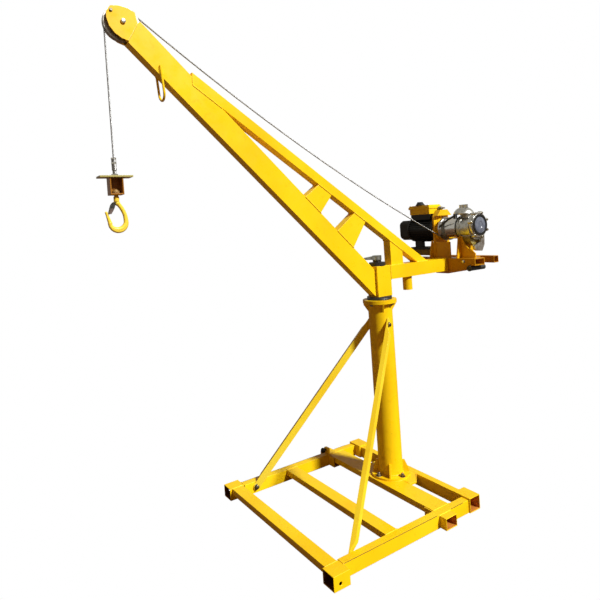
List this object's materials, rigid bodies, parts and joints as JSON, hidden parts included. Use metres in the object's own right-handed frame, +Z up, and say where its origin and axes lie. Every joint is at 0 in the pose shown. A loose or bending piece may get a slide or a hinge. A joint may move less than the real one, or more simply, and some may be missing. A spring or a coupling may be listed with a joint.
{
  "type": "portable mini crane",
  "caption": "Portable slewing mini crane: flat base frame, braced round mast, box boom with a top chord, electric rope winch on the rear arm and a hook block.",
  "frame": {"origin": "on the floor below the mast axis", "axes": "+X along the boom, +Y to the gearbox side of the winch, +Z up"},
  "size_m": [2.069, 0.94, 2.285],
  "materials": {
    "yellow_enamel": "gloss",
    "grey_steel": "satin",
    "dark_steel": "satin",
    "black_motor": "satin",
    "black_plastic": "matte",
    "black_grip": "matte",
    "yellow_cover": "gloss",
    "cast_alloy": "satin",
    "drum_steel": "polished",
    "wire_rope": "satin",
    "sheave_steel": "satin"
  },
  "bodies": {
    "base": {"side_rail_near": "yellow_enamel", "side_rail_far": "yellow_enamel", "corner_tube_near": "yellow_enamel", "corner_tube_far": "yellow_enamel", "front_crossbeam": "yellow_enamel", "middle_crossbeam": "yellow_enamel", "mast_crossbeam": "yellow_enamel", "rear_crossbeam": "yellow_enamel", "outrigger_socket_near": "yellow_enamel", "outrigger_socket_far": "yellow_enamel", "rear_socket_near": "yellow_enamel", "rear_socket_far": "yellow_enamel", "mast_seat_plate": "yellow_enamel", "mast_base_flange": "yellow_enamel", "mast_tube": "yellow_enamel", "mast_top_flange": "yellow_enamel", "brace_near": "yellow_enamel", "brace_far": "yellow_enamel", "slew_post": "dark_steel"},
    "upperworks": {"swivel_head": "yellow_enamel", "kingpin_cap": "dark_steel", "cap_lever": "grey_steel", "boom_tube": "yellow_enamel", "top_chord": "yellow_enamel", "web_plate_upper": "yellow_enamel", "web_plate_lower": "yellow_enamel", "web_post": "yellow_enamel", "rear_arm": "yellow_enamel", "arm_stub_tube": "yellow_enamel", "platform_front": "yellow_enamel", "platform_rear": "yellow_enamel", "push_handle_near": "black_grip", "push_handle_far": "black_grip", "tip_fork": "yellow_enamel", "rope_eye": "yellow_enamel", "winch_frame": "yellow_enamel", "winch_motor": "black_motor", "fan_cover": "black_plastic", "control_box": "yellow_cover", "gearbox_foot": "yellow_enamel", "gearbox": "cast_alloy", "gearbox_cover": "cast_alloy", "rope_lead": "wire_rope"},
    "sheave_wheel": {"sheave": "sheave_steel"},
    "rope_drum": {"drum": "drum_steel"},
    "hook_block": {"rope_fall": "wire_rope", "rope_socket": "wire_rope", "hook_yoke": "yellow_enamel"},
    "hook_body": {"hook": "yellow_enamel"},
    "latch_body": {"hook_latch": "dark_steel"}
  },
  "joints": [
    {"name": "slew", "type": "hinge", "parent": "base", "child": "upperworks", "pos_m": [0, 0, 1], "axis": [0, 0, 1], "continuous": true},
    {"name": "hoist", "type": "slide", "parent": "upperworks", "child": "hook_block", "axis": [0, 0, 1], "range_m": [-1.3, 0.4], "deforming": ["rope_fall"]},
    {"name": "sheave_spin", "type": "hinge", "parent": "upperworks", "child": "sheave_wheel", "pos_m": [1.24, 0, 2.214], "axis": [0, 1, 0], "range_deg": [-360, 1140]},
    {"name": "drum_spin", "type": "hinge", "parent": "upperworks", "child": "rope_drum", "pos_m": [-0.575, 0, 1.302], "axis": [0, 1, 0], "range_deg": [-1200, 380]},
    {"name": "hook_swivel", "type": "hinge", "parent": "hook_block", "child": "hook_body", "pos_m": [1.306, 0, 1.54], "axis": [0, 0, 1], "continuous": true},
    {"name": "latch_pivot", "type": "hinge", "parent": "hook_body", "child": "latch_body", "pos_m": [1.317, 0, 1.513], "axis": [0, 1, 0], "range_deg": [0, 45], "stiffness_Nm_per_rad": 0.02, "springref_deg": -17.19}
  ],
  "couplings": [
    {"joint": "sheave_spin", "follows": "hoist", "rad_per_m": -15.152},
    {"joint": "drum_spin", "follows": "hoist", "rad_per_m": 15.873}
  ]
}
